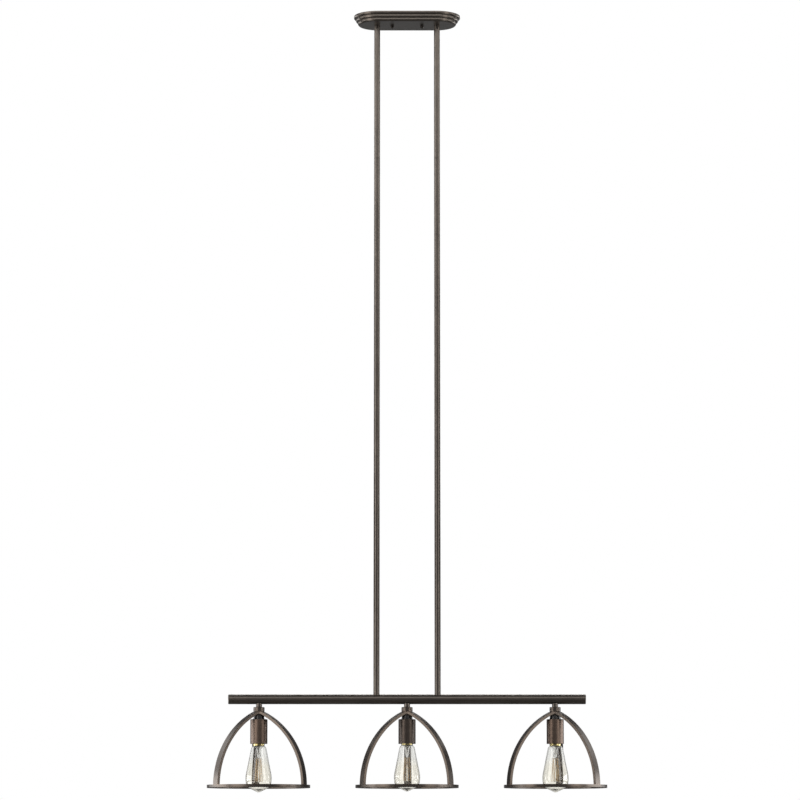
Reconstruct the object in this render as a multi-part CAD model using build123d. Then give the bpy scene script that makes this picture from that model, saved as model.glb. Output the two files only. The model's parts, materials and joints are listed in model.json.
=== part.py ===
from build123d import *
import math
import os

# A linear island pendant: a stepped canopy, two sectional down rods, a round crossbar and three
# lamps, each with a bare bulb inside an open cage of three bent straps on a flat ring.
# Millimetres, +Z up. The origin is the middle of the mounting strap's top face, on the ceiling.
# X runs along the crossbar and -Y is the front.

# Layout
LAMP_SPACING = 339.0
ROD_SPACING = 140.3
ROD_JOINT_Z = (-340.0, -672.0, -1043.0, -1395.0)
BAR_Z = -1603.0
LAMPS = {"left": -LAMP_SPACING, "middle": 0.0, "right": LAMP_SPACING}
CAGE_YAW = {"left": 6.5, "middle": -1.0, "right": -8.0}
BULB_LIFT = {"left": 0.0, "middle": 2.0, "right": 0.0}
SIDES = {"left": -ROD_SPACING / 2, "right": ROD_SPACING / 2}

# Canopy, pressed from sheet
CANOPY_LENGTH = 250.0
CANOPY_WIDTH = 114.0
CANOPY_HEIGHT = 21.5
CANOPY_STEPS = 3
STEP_INSET = 4.7
STEP_ROUND = 4.4
SHEET = 1.2
PLATE_TOP = -CANOPY_HEIGHT + SHEET

# Mounting strap, a shallow channel that screws to a ceiling box
STRAP_LENGTH = 112.0
STRAP_WIDTH = 25.4
STRAP_SHEET = 1.8
STRAP_FLANGE = 5.0
BOX_SCREW_SPACING = 88.9
BOX_SLOT_LENGTH = 12.0
BOX_SLOT_WIDTH = 4.8
STUD_SPACING = 69.85
STUD_RADIUS = 2.08
STUD_NUT_FLATS = 8.7
STUD_NUT_HEIGHT = 3.2
CAP_NUT_RADIUS = 4.1
CAP_NUT_HEIGHT = 6.6
GROUND_SCREW_X = 20.0
GROUND_SCREW_RADIUS = 1.9
GROUND_HEAD_HEIGHT = 2.4
GROUND_SLOT_WIDTH = 1.0
GROUND_SLOT_DEPTH = 0.8

# Down rods and the threaded nipples that join them
ROD_RADIUS = 7.0
NIPPLE_RADIUS = 5.15
NIPPLE_BORE = 3.5
ROD_NIPPLE_LENGTH = 24.0
ROD_NIPPLE_TOP = -12.0
ROD_EDGE = 0.35
WASHER_RADIUS = 9.5
WASHER_THICKNESS = 1.2
ROD_NUT_FLATS = 15.9
ROD_NUT_HEIGHT = 3.6

# Crossbar
BAR_LENGTH = 819.0
BAR_RADIUS = 11.25
BAR_BORE = 9.8
CAP_BAND = 13.0
CAP_SPIGOT = 9.0
CAP_ROUND = 1.6
SLUG_LENGTH = 20.0
SLUG_CHANNEL = 4.0
ROD_SEAT = 8.0                       # height of the rods' seats above the bar's centre line
BAR_THREAD_REACH = 4.0               # how far a nipple's end stays from the centre line

# Lamp stack below the crossbar, all on the lamp's own axis
HUB_TOP = -1621.0
HUB_RADIUS = 12.75
HUB_EDGE = 0.8
STRAP_SEAT = -1631.8                 # the hub's underside, where the straps are welded on
SPIGOT_RADIUS = 8.0
NECK_TOP = -1639.25
RUNNING_GAP = 0.05
RUNNING_CLEARANCE = 0.08
NECK_RADIUS = 12.1
NECK_EDGE = 1.2                      # clears the undersides of the straps
NECK_FLANGE_RADIUS = 12.7
NECK_FLANGE = 2.6
CUP_TOP = -1648.7
CUP_BOTTOM = -1704.6
CUP_RADIUS = 19.7
CUP_WALL = 1.0
CUP_ROUND = 1.5
LOCK_NUT_FLATS = 15.9
LOCK_NUT_HEIGHT = 3.3
LAMP_NIPPLE_BOTTOM = -1657.0

# Cage
RING_RADIUS = 118.0
RING_WIDTH = 12.0
RING_HEIGHT = 7.0
RING_TOP = -1798.0
RING_EDGE = 1.0
ARC_RADIUS = 187.5                   # outer face of a strap
ARC_CENTRE_R = -69.5                 # the arc's centre lies on the far side of the lamp's axis
ARC_CENTRE_Z = RING_TOP - 3.0
ARM_COUNT = 3
ARM_WIDTH = 19.0
ARM_THICKNESS = 6.35
ARM_EDGE = 0.7
BACK_ARM_ANGLE = 90.0                # one strap stands behind the bulb

# Socket inside the cup
BODY_RADIUS = 17.0
BODY_BOSS_RADIUS = 10.0
BODY_SHOULDER = -1658.0
BODY_BOTTOM = -1702.5
BODY_BORE = 13.8
BODY_BORE_TOP = -1676.0
CHAMBER_BOTTOM = -1664.0
SHELL_WALL = 0.4
SHELL_BOTTOM = -1701.0
CONTACT_RADIUS = 3.0
CONTACT_PLATE = 1.0
CONTACT_GAP = 0.5                    # the tongue stops this far above the bulb's tip

# Bulb: screw base and pear-shaped envelope with a shallow pointed end
THREAD_CREST = 13.05
THREAD_ROOT = 12.2
THREAD_PITCH = 3.6
THREAD_TURNS = 4
CREST_START = 0.35                   # where each rolled crest begins and ends, in pitches
CREST_END = 0.65
BASE_TIP = -1680.0
SOLDER_RADIUS = 4.5
SOLDER_EDGE = 1.2
SOLDER_HEIGHT = 2.0
SHELL_TOP = -1686.5
SHELL_EDGE = 1.6
BASE_WALL = 0.8
COLLAR_RADIUS = 13.2
COLLAR_BOTTOM = -1709.4
NECK_GLASS_RADIUS = 12.6
SHOULDER_RADIUS = 17.6
SHOULDER_Z = -1716.0
TAPER_END_RADIUS = 28.8
TAPER_END_Z = -1772.0
BELLY_RADIUS = 29.2
BELLY_Z = -1793.0
HEEL_RADIUS = 19.5
HEEL_Z = -1806.5
BULB_TIP = -1815.2
TIP_ROUND_RADIUS = 3.0
TIP_ROUND_RISE = 0.8
GLASS_WALL = 0.9

# Filament mount inside the bulb
STEM_FLARE_RADIUS = NECK_GLASS_RADIUS - GLASS_WALL
STEM_FLARE_LIP = 0.8
STEM_NECK_RADIUS = 4.5
STEM_SHOULDER = -1718.0
STEM_WAIST_RADIUS = 3.0
STEM_WAIST = -1732.0
STEM_ROD_RADIUS = 1.6
STEM_END = -1792.0
FILAMENT_TOP = -1738.0
FILAMENT_BOTTOM = -1790.0
FILAMENT_COUNT = 8
FILAMENT_TOP_CIRCLE = 6.0
FILAMENT_LOW_CIRCLE = 9.5
FILAMENT_RADIUS = 0.35

# Wiring: all six leads rise through the left rod to connectors in the canopy
WIRE_RADIUS = 0.9
LEAD_Y = {"black": -1.1, "white": 1.1}
LEAD_ROD_X = {"left": -2.1, "middle": 0.0, "right": 2.1}
LEAD_RUN_Z = {"left": -1603.2, "middle": -1604.2, "right": -1602.1}
LEAD_BEND = 3.8
LEAD_TOP_Z = {"black": -6.0, "white": -8.2}
LEAD_TOP_BEND = {"black": 5.5, "white": 3.4}
CONNECTOR_Y = {"black": 20.0, "white": 32.0, "ground": 24.0}
CONNECTOR_MOUTH_X = {"black": -32.0, "white": -32.0, "ground": 40.0}
CONNECTOR_LENGTH = 20.0
CONNECTOR_MOUTH_RADIUS = 5.4
CONNECTOR_TIP_RADIUS = 3.6
LEAD_TURN = 6.0
GROUND_LEAD_Z = -9.0
GROUND_LEAD_BEND = 3.0
GROUND_LEAD_DROP = (6.5, 10.5)       # Y of the slope that takes it under the strap's flange


def upright(radius, top, bottom, x=0.0, y=0.0):
    """Solid cylinder on a vertical axis, between two heights."""
    below = (Align.CENTER, Align.CENTER, Align.MAX)
    return Pos(x, y, top) * Cylinder(radius, top - bottom, align=below)


def upright_tube(outer, inner, top, bottom, x=0.0):
    return upright(outer, top, bottom, x) - upright(inner, top, bottom, x)


def turned(points):
    """Solid of revolution about Z from a closed outline of (radius, height) points."""
    outline = Polyline(*points, close=True)
    return revolve(Plane.XZ * make_face(outline), Axis.Z)


def hex_nut(flats, bore, top, height, x=0.0):
    prism = extrude(RegularPolygon(flats / 2, 6, major_radius=False), height)
    return Pos(x, 0, top - height) * prism - upright(bore, top, top - height, x)


def rim_edges(solid, height):
    """The edges of a solid that lie flat at one height."""
    return solid.edges().filter_by_position(Axis.Z, height - 0.01, height + 0.01)


# Ceiling fixing

def stepped_block(inset):
    """Three stadium slabs under each other, each narrower, with rounded lower edges."""
    block = None
    for step in range(CANOPY_STEPS):
        side = 2 * (inset + STEP_INSET * step)
        depth = CANOPY_HEIGHT * (step + 1) / CANOPY_STEPS - inset
        slab = extrude(SlotOverall(CANOPY_LENGTH - side, CANOPY_WIDTH - side), -depth)
        slab = fillet(rim_edges(slab, -depth), STEP_ROUND - inset)
        block = slab if block is None else block + slab
    return block


def make_canopy():
    canopy = stepped_block(0.0) - stepped_block(SHEET)
    for x in SIDES.values():
        canopy -= upright(NIPPLE_RADIUS, 0, -CANOPY_HEIGHT, x)
    for x in (-STUD_SPACING / 2, STUD_SPACING / 2):
        canopy -= upright(STUD_RADIUS, 0, -CANOPY_HEIGHT, x)
    return canopy


def make_mounting_strap():
    top_down = (Align.CENTER, Align.CENTER, Align.MAX)
    strap = Box(STRAP_LENGTH, STRAP_WIDTH, STRAP_FLANGE, align=top_down)
    strap = fillet(strap.edges().filter_by(Axis.Z), STRAP_SHEET + 1)
    inside = Box(STRAP_LENGTH, STRAP_WIDTH - 2 * STRAP_SHEET, STRAP_FLANGE, align=top_down)
    strap -= Pos(0, 0, -STRAP_SHEET) * inside
    strap -= upright(GROUND_SCREW_RADIUS, 0, -STRAP_SHEET, GROUND_SCREW_X)
    for side in (-1, 1):
        strap -= upright(STUD_RADIUS, 0, -STRAP_SHEET, side * STUD_SPACING / 2)
        slot = extrude(SlotOverall(BOX_SLOT_LENGTH, BOX_SLOT_WIDTH), -STRAP_SHEET)
        strap -= Pos(side * BOX_SCREW_SPACING / 2, 0, 0) * slot
    return strap


def make_studs():
    bottom = -CANOPY_HEIGHT - CAP_NUT_HEIGHT / 2
    return [upright(STUD_RADIUS, 0, bottom, side * STUD_SPACING / 2) for side in (-1, 1)]


def make_stud_lock_nuts():
    return [hex_nut(STUD_NUT_FLATS, STUD_RADIUS, -STRAP_SHEET, STUD_NUT_HEIGHT,
                    side * STUD_SPACING / 2) for side in (-1, 1)]


def make_cap_nuts():
    """Ball-ended nuts that hold the canopy up on the studs."""
    nuts = []
    for side in (-1, 1):
        x = side * STUD_SPACING / 2
        nut = upright(CAP_NUT_RADIUS, -CANOPY_HEIGHT, -CANOPY_HEIGHT - CAP_NUT_HEIGHT, x)
        nut = fillet(rim_edges(nut, -CANOPY_HEIGHT - CAP_NUT_HEIGHT), CAP_NUT_RADIUS * 0.8)
        nut -= upright(STUD_RADIUS, -CANOPY_HEIGHT, -CANOPY_HEIGHT - CAP_NUT_HEIGHT / 2, x)
        nuts.append(nut)
    return nuts


def make_ground_screw():
    head_radius = 2 * GROUND_SCREW_RADIUS
    head_top = -STRAP_SHEET - 2 * WIRE_RADIUS
    screw = upright(GROUND_SCREW_RADIUS, 0, head_top, GROUND_SCREW_X)
    head_bottom = head_top - GROUND_HEAD_HEIGHT
    screw += upright(head_radius, head_top, head_bottom, GROUND_SCREW_X)
    slot = Box(2 * head_radius, GROUND_SLOT_WIDTH, 2 * GROUND_SLOT_DEPTH)
    return screw - Pos(GROUND_SCREW_X, 0, head_bottom) * slot


# Down rods

def make_rods():
    """Five sections a side, named from the ceiling down, with a slight edge at each joint."""
    rods = {}
    joints = (-CANOPY_HEIGHT,) + ROD_JOINT_Z + (BAR_Z + ROD_SEAT,)
    for side, x in SIDES.items():
        for number in range(1, len(joints)):
            top, bottom = joints[number - 1], joints[number]
            rod = upright(ROD_RADIUS, top, bottom, x)
            rod = chamfer(rim_edges(rod, top) + rim_edges(rod, bottom), ROD_EDGE)
            rods[f"rod_{side}_{number}"] = rod - upright(NIPPLE_RADIUS, top, bottom, x)
    return rods


def make_rod_nipples():
    """One nipple in each joint: through the canopy, between sections and into the crossbar."""
    tops = [ROD_NIPPLE_TOP] + [z + ROD_NIPPLE_LENGTH / 2 for z in ROD_JOINT_Z]
    tops.append(BAR_Z + BAR_THREAD_REACH + ROD_NIPPLE_LENGTH)
    return [upright_tube(NIPPLE_RADIUS, NIPPLE_BORE, top, top - ROD_NIPPLE_LENGTH, x)
            for x in SIDES.values() for top in tops]


def make_rod_washers():
    top = PLATE_TOP + WASHER_THICKNESS
    return [upright_tube(WASHER_RADIUS, NIPPLE_RADIUS, top, PLATE_TOP, x)
            for x in SIDES.values()]


def make_rod_nuts():
    top = PLATE_TOP + WASHER_THICKNESS + ROD_NUT_HEIGHT
    return [hex_nut(ROD_NUT_FLATS, NIPPLE_RADIUS, top, ROD_NUT_HEIGHT, x)
            for x in SIDES.values()]


# Crossbar

def lengthwise(radius, start, end):
    """Solid cylinder along the crossbar's centre line, between two X positions."""
    rod = Cylinder(radius, end - start, rotation=(0, 90, 0))
    return Pos((start + end) / 2, 0, BAR_Z) * rod


def make_crossbar():
    half = BAR_LENGTH / 2 - CAP_BAND
    bar = lengthwise(BAR_RADIUS, -half, half) - lengthwise(BAR_BORE, -half, half)
    for x in SIDES.values():
        bar -= upright(ROD_RADIUS, BAR_Z + BAR_RADIUS, BAR_Z, x)
    for x in LAMPS.values():
        bar -= upright(ROD_RADIUS, BAR_Z, BAR_Z - BAR_RADIUS, x)
    return bar


def make_end_cap(side):
    """Flush cap: a solid band of the bar's own diameter with a spigot in its bore."""
    seam = BAR_LENGTH / 2 - CAP_BAND
    cap = lengthwise(BAR_RADIUS, seam, BAR_LENGTH / 2)
    faces = cap.faces().sort_by(Axis.X)
    cap = fillet(faces[-1].edges(), CAP_ROUND)
    cap = chamfer(cap.faces().sort_by(Axis.X)[0].edges(), ROD_EDGE)
    cap += lengthwise(BAR_BORE, seam - CAP_SPIGOT, seam)
    return cap if side == "right" else mirror(cap, Plane.YZ)


def make_slugs():
    """Tapped slugs welded in the bar: rods screw in from above, stems from below."""
    slugs = []
    for x, up in [(x, 1) for x in SIDES.values()] + [(x, -1) for x in LAMPS.values()]:
        slug = lengthwise(BAR_BORE, x - SLUG_LENGTH / 2, x + SLUG_LENGTH / 2)
        slug -= lengthwise(SLUG_CHANNEL, x - SLUG_LENGTH / 2, x + SLUG_LENGTH / 2)
        slug -= upright(NIPPLE_RADIUS, BAR_Z + BAR_RADIUS, BAR_Z - BAR_RADIUS, x)
        seat = BAR_Z + up * ROD_SEAT
        outer = BAR_Z + up * BAR_RADIUS
        slug -= upright(ROD_RADIUS, max(seat, outer), min(seat, outer), x)
        slugs.append(slug)
    return slugs


# Lamp stack

def make_stems():
    stems = []
    for x in LAMPS.values():
        stem = upright(ROD_RADIUS, BAR_Z - ROD_SEAT, HUB_TOP, x)
        stem = chamfer(rim_edges(stem, HUB_TOP), ROD_EDGE)
        stems.append(stem - upright(NIPPLE_RADIUS, BAR_Z - ROD_SEAT, HUB_TOP, x))
    return stems


def make_lamp_nipples():
    top = BAR_Z - BAR_THREAD_REACH
    return [upright_tube(NIPPLE_RADIUS, NIPPLE_BORE, top, LAMP_NIPPLE_BOTTOM, x)
            for x in LAMPS.values()]


def make_neck(x):
    flange_top = CUP_TOP + NECK_FLANGE
    neck = upright(NECK_RADIUS, NECK_TOP, CUP_TOP, x)
    neck = chamfer(rim_edges(neck, NECK_TOP), NECK_EDGE)
    neck += upright(NECK_FLANGE_RADIUS, flange_top, CUP_TOP, x)
    return neck - upright(NIPPLE_RADIUS, NECK_TOP, CUP_TOP, x)


def make_cup(x):
    """Spun cup, open at the bottom, with a rounded shoulder."""
    cup = upright(CUP_RADIUS, CUP_TOP, CUP_BOTTOM, x)
    cup = fillet(rim_edges(cup, CUP_TOP), CUP_ROUND)
    cup = fillet(rim_edges(cup, CUP_BOTTOM), CUP_WALL / 3)
    cup -= upright(CUP_RADIUS - CUP_WALL, CUP_TOP - CUP_WALL, CUP_BOTTOM, x)
    return cup - upright(NIPPLE_RADIUS, CUP_TOP, CUP_BOTTOM, x)


def make_lock_nuts():
    return [hex_nut(LOCK_NUT_FLATS, NIPPLE_RADIUS, CUP_TOP - CUP_WALL, LOCK_NUT_HEIGHT, x)
            for x in LAMPS.values()]


def make_socket_body(x):
    """Insulator: a boss on the nipple, a wire chamber and the bore for the screw shell."""
    boss_top = CUP_TOP - CUP_WALL - LOCK_NUT_HEIGHT
    body = upright(BODY_BOSS_RADIUS, boss_top, BODY_SHOULDER, x)
    body += upright(BODY_RADIUS, BODY_SHOULDER, BODY_BOTTOM, x)
    body -= upright(NIPPLE_RADIUS, boss_top, LAMP_NIPPLE_BOTTOM, x)
    body -= upright(NIPPLE_BORE, LAMP_NIPPLE_BOTTOM, CHAMBER_BOTTOM, x)
    return body - upright(BODY_BORE, BODY_BORE_TOP, BODY_BOTTOM, x)


def make_screw_shells():
    shells = []
    for x in LAMPS.values():
        shell = upright(BODY_BORE, BODY_BORE_TOP, SHELL_BOTTOM, x)
        shell -= upright(BODY_BORE - SHELL_WALL, BODY_BORE_TOP - SHELL_WALL, SHELL_BOTTOM, x)
        shells.append(shell - upright(2 * CONTACT_RADIUS, BODY_BORE_TOP, SHELL_BOTTOM, x))
    return shells


def make_contacts():
    """Riveted centre contacts, each with a tongue bent down towards its bulb's tip."""
    contacts = []
    for lamp, x in LAMPS.items():
        left, right = x - CONTACT_RADIUS, x + CONTACT_RADIUS
        plate = BODY_BORE_TOP - CONTACT_PLATE
        tip = BASE_TIP + BULB_LIFT[lamp] + CONTACT_GAP
        side_view = Polyline((left, BODY_BORE_TOP), (right, BODY_BORE_TOP), (right, plate),
                             (x, plate), (right, tip), (left, plate), close=True)
        contacts.append(extrude(Plane.XZ * make_face(side_view), CONTACT_RADIUS / 2, both=True))
    return contacts


# Cage

def arc_height(radius, face_radius):
    """Height of a strap's face at a distance from the lamp's axis."""
    reach = radius - ARC_CENTRE_R
    return ARC_CENTRE_Z + math.sqrt(face_radius ** 2 - reach ** 2)


def arc_reach(height, face_radius):
    """Distance of a strap's face from the lamp's axis, at a height."""
    return ARC_CENTRE_R + math.sqrt(face_radius ** 2 - (height - ARC_CENTRE_Z) ** 2)


def face_arc(face_radius):
    """Side view of one face of a strap, from its foot on the ring to the lamp's axis."""
    foot = (arc_reach(RING_TOP, face_radius), RING_TOP)
    middle = (foot[0] / 2, arc_height(foot[0] / 2, face_radius))
    head = (0.0, arc_height(0.0, face_radius))
    return ThreePointArc(foot, middle, head)


def make_arm():
    """One flat strap, bent to an arc from the ring up to the hub, mitred against its neighbours.

    It is drawn running out along +X, then cut to a 120 degree wedge and to the hub's outline.
    """
    outer = face_arc(ARC_RADIUS)
    inner = face_arc(ARC_RADIUS - ARM_THICKNESS)
    outline = [outer, inner, Line(outer @ 1, inner @ 1), Line(outer @ 0, inner @ 0)]
    strap = extrude(Plane.XZ * make_face(outline), ARM_WIDTH / 2, both=True)
    long_edges = strap.edges().filter_by(GeomType.CIRCLE)
    strap = fillet(long_edges, ARM_EDGE)
    reach = 2 * RING_RADIUS
    spread = reach * math.tan(math.radians(180 / ARM_COUNT))
    wedge = make_face(Polyline((0, 0), (reach, -spread), (reach, spread), close=True))
    strap &= extrude(Plane.XY.offset(RING_TOP) * wedge, HUB_TOP - RING_TOP)
    strap -= upright(HUB_RADIUS + ARM_WIDTH, HUB_TOP, STRAP_SEAT)
    return strap - upright(SPIGOT_RADIUS, STRAP_SEAT, NECK_TOP)


def make_arms(x, yaw):
    arm = make_arm()
    angles = [yaw + BACK_ARM_ANGLE + 360 / ARM_COUNT * turn for turn in range(ARM_COUNT)]
    return [Pos(x, 0, 0) * Rot(0, 0, angle) * arm for angle in angles]


def make_hub(x):
    """Turned hub that runs on the lamp nipple, between the stem and the socket neck."""
    top = HUB_TOP - RUNNING_GAP
    hub = upright(HUB_RADIUS, top, STRAP_SEAT, x)
    hub = chamfer(rim_edges(hub, top) + rim_edges(hub, STRAP_SEAT), HUB_EDGE)
    hub += upright(SPIGOT_RADIUS, STRAP_SEAT, NECK_TOP + RUNNING_GAP, x)
    return hub - upright(NIPPLE_RADIUS + RUNNING_CLEARANCE, top, NECK_TOP, x)


def make_ring(x):
    ring = upright(RING_RADIUS, RING_TOP, RING_TOP - RING_HEIGHT, x)
    ring -= upright(RING_RADIUS - RING_WIDTH, RING_TOP, RING_TOP - RING_HEIGHT, x)
    return fillet(rim_edges(ring, RING_TOP - RING_HEIGHT), RING_EDGE)


# Bulb

def make_bulb_base():
    """Hollow screw base: solder tip, insulating cone, rolled thread and plain collar."""
    thread_top = SHELL_TOP - SHELL_EDGE
    thread_end = thread_top - THREAD_PITCH * THREAD_TURNS
    points = [(0, BASE_TIP), (SOLDER_RADIUS - SOLDER_EDGE, BASE_TIP),
              (SOLDER_RADIUS, BASE_TIP - SOLDER_EDGE), (SOLDER_RADIUS, BASE_TIP - SOLDER_HEIGHT),
              (THREAD_ROOT - SHELL_EDGE, SHELL_TOP)]
    for turn in range(THREAD_TURNS):
        root = thread_top - THREAD_PITCH * turn
        points += [(THREAD_ROOT, root), (THREAD_CREST, root - THREAD_PITCH * CREST_START),
                   (THREAD_CREST, root - THREAD_PITCH * CREST_END)]
    points += [(THREAD_ROOT, thread_end), (COLLAR_RADIUS, thread_end - SHELL_EDGE),
               (COLLAR_RADIUS, COLLAR_BOTTOM), (0, COLLAR_BOTTOM)]
    return turned(points) - upright(THREAD_ROOT - BASE_WALL, thread_top, COLLAR_BOTTOM)


def glass_outline(inset):
    """Half outline of the envelope, drawn in by the wall's thickness for the inside."""
    neck = (NECK_GLASS_RADIUS - inset, COLLAR_BOTTOM)
    shoulder = (SHOULDER_RADIUS - inset, SHOULDER_Z)
    taper = (TAPER_END_RADIUS - inset, TAPER_END_Z)
    belly = (BELLY_RADIUS - inset, BELLY_Z)
    heel = (HEEL_RADIUS - inset / 2, HEEL_Z + inset)
    nib = (TIP_ROUND_RADIUS, BULB_TIP + TIP_ROUND_RISE + inset)
    tip = (0, BULB_TIP + inset)
    slope = Vector(*taper) - Vector(*shoulder)
    shoulder_arc = TangentArc(shoulder, neck, tangent=-slope)
    belly_arc = TangentArc(taper, belly, tangent=slope)
    heel_arc = TangentArc(belly, heel, tangent=belly_arc % 1)
    return [Line((0, COLLAR_BOTTOM), neck), shoulder_arc, Line(shoulder, taper), belly_arc,
            heel_arc, Line(heel, nib), TangentArc(tip, nib, tangent=(1, 0)),
            Line(tip, (0, COLLAR_BOTTOM))]


def make_bulb_glass():
    outside = revolve(Plane.XZ * make_face(glass_outline(0)), Axis.Z)
    inside = revolve(Plane.XZ * make_face(glass_outline(GLASS_WALL)), Axis.Z)
    return outside - inside


def between(start, end, radius):
    """Straight round wire from one point to another."""
    run = Vector(*end) - Vector(*start)
    bottom_up = (Align.CENTER, Align.CENTER, Align.MIN)
    return Plane(origin=start, z_dir=run) * Cylinder(radius, run.length, align=bottom_up)


def make_filament_mount():
    """Glass stem with two spiders of support wires, and the filament strung between them."""
    mount = turned([(0, COLLAR_BOTTOM), (STEM_FLARE_RADIUS, COLLAR_BOTTOM),
                    (STEM_FLARE_RADIUS, COLLAR_BOTTOM - STEM_FLARE_LIP),
                    (STEM_NECK_RADIUS, STEM_SHOULDER), (STEM_WAIST_RADIUS, STEM_WAIST),
                    (STEM_ROD_RADIUS, FILAMENT_TOP), (STEM_ROD_RADIUS, STEM_END), (0, STEM_END)])
    for number in range(FILAMENT_COUNT):
        angle = math.radians(360 / FILAMENT_COUNT * number)
        top_hook = (FILAMENT_TOP_CIRCLE * math.cos(angle), FILAMENT_TOP_CIRCLE * math.sin(angle),
                    FILAMENT_TOP)
        low_hook = (FILAMENT_LOW_CIRCLE * math.cos(angle), FILAMENT_LOW_CIRCLE * math.sin(angle),
                    FILAMENT_BOTTOM)
        mount += between((0, 0, FILAMENT_TOP), top_hook, FILAMENT_RADIUS)
        mount += between((0, 0, FILAMENT_BOTTOM), low_hook, FILAMENT_RADIUS)
        mount += between(top_hook, low_hook, FILAMENT_RADIUS)
    return mount


# Wiring

def lead_route(lamp, colour):
    """From a socket's chamber up the stem, along the bar and up the rod into the canopy."""
    y = LEAD_Y[colour]
    lamp_x = LAMPS[lamp]
    rod_x = SIDES["left"] + LEAD_ROD_X[lamp]
    run = LEAD_RUN_Z[lamp]
    top = LEAD_TOP_Z[colour]
    turn_y = CONNECTOR_Y[colour] - LEAD_ROD_X[lamp]
    points = [(lamp_x, y, CHAMBER_BOTTOM), (lamp_x, y, run), (rod_x, y, run), (rod_x, y, top),
              (rod_x, turn_y, top), (CONNECTOR_MOUTH_X[colour], turn_y, top)]
    bends = [LEAD_BEND, LEAD_BEND, LEAD_TOP_BEND[colour], LEAD_TURN]
    return FilletPolyline(*points, radius=bends)


def wire(route):
    return sweep(Plane(origin=route @ 0, z_dir=route % 0) * Circle(WIRE_RADIUS), path=route)


def make_leads(colour):
    return [wire(lead_route(lamp, colour)) for lamp in LAMPS]


def make_ground_lead():
    """From under the ground screw's head, below the strap's flange, to its connector."""
    x = GROUND_SCREW_X
    clamp_z = -STRAP_SHEET - WIRE_RADIUS
    y = CONNECTOR_Y["ground"]
    drop_start, drop_end = GROUND_LEAD_DROP
    points = [(x, GROUND_SCREW_RADIUS, clamp_z), (x, drop_start, clamp_z),
              (x, drop_end, GROUND_LEAD_Z), (x, y, GROUND_LEAD_Z),
              (CONNECTOR_MOUTH_X["ground"], y, GROUND_LEAD_Z)]
    return wire(FilletPolyline(*points, radius=[GROUND_LEAD_BEND, GROUND_LEAD_BEND, LEAD_TURN]))


def make_wire_connectors():
    heights = {**LEAD_TOP_Z, "ground": GROUND_LEAD_Z}
    mouth_first = (Align.CENTER, Align.CENTER, Align.MIN)
    cone = Cone(CONNECTOR_MOUTH_RADIUS, CONNECTOR_TIP_RADIUS, CONNECTOR_LENGTH,
                align=mouth_first)
    return [Pos(CONNECTOR_MOUTH_X[name], CONNECTOR_Y[name], z) * Rot(0, 90, 0) * cone
            for name, z in heights.items()]


def make_fixture():
    """Every piece that stays still when the cages turn and the bulbs come out."""
    parts = {"canopy": make_canopy(), "mounting_strap": make_mounting_strap(),
             "strap_studs": make_studs(), "stud_lock_nuts": make_stud_lock_nuts(),
             "canopy_cap_nuts": make_cap_nuts(), "ground_screw": make_ground_screw(),
             "rod_nipples": make_rod_nipples(), "rod_washers": make_rod_washers(),
             "rod_lock_nuts": make_rod_nuts(), "crossbar_tube": make_crossbar(),
             "crossbar_cap_left": make_end_cap("left"),
             "crossbar_cap_right": make_end_cap("right"), "crossbar_slugs": make_slugs(),
             "lamp_stems": make_stems(), "lamp_nipples": make_lamp_nipples(),
             "socket_lock_nuts": make_lock_nuts(), "socket_screw_shells": make_screw_shells(),
             "socket_contacts": make_contacts(), "leads_black": make_leads("black"),
             "leads_white": make_leads("white"), "ground_lead": make_ground_lead(),
             "wire_connectors": make_wire_connectors()}
    parts.update(make_rods())
    for lamp, x in LAMPS.items():
        parts[f"socket_neck_{lamp}"] = make_neck(x)
        parts[f"socket_cup_{lamp}"] = make_cup(x)
        parts[f"socket_body_{lamp}"] = make_socket_body(x)
    return parts


def make_cages():
    parts = {}
    for lamp, x in LAMPS.items():
        parts[f"cage_hub_{lamp}"] = make_hub(x)
        parts[f"cage_arms_{lamp}"] = make_arms(x, CAGE_YAW[lamp])
        parts[f"cage_ring_{lamp}"] = make_ring(x)
    return parts


def make_bulbs():
    base, glass, mount = make_bulb_base(), make_bulb_glass(), make_filament_mount()
    parts = {}
    for lamp, x in LAMPS.items():
        place = Pos(x, 0, BULB_LIFT[lamp])
        parts[f"bulb_base_{lamp}"] = place * base
        parts[f"bulb_glass_{lamp}"] = place * glass
        parts[f"bulb_filament_{lamp}"] = place * mount
    return parts


os.makedirs("parts", exist_ok=True)
for node, shape in {**make_fixture(), **make_cages(), **make_bulbs()}.items():
    solids = shape if isinstance(shape, list) else [shape]
    export_step(Compound(solids), f"parts/{node}.step")
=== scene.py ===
import json
import math

import bmesh
import bpy
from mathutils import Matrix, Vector


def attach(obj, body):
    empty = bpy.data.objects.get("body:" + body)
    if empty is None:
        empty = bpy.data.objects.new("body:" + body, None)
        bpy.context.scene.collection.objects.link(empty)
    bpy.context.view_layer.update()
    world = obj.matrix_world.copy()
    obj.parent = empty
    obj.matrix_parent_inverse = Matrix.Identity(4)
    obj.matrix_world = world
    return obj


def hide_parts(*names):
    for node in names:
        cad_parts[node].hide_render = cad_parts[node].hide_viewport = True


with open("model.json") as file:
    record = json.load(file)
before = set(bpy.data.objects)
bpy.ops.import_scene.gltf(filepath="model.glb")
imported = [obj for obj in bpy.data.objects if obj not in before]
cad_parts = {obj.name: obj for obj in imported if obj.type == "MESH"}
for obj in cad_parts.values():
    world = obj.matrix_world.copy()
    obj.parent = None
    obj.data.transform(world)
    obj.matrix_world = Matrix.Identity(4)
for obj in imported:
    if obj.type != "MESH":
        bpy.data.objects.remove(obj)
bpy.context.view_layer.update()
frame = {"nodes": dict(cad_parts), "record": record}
NODES = frame["nodes"]
LAMPS = ("left", "middle", "right")
MM = 0.001

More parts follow.
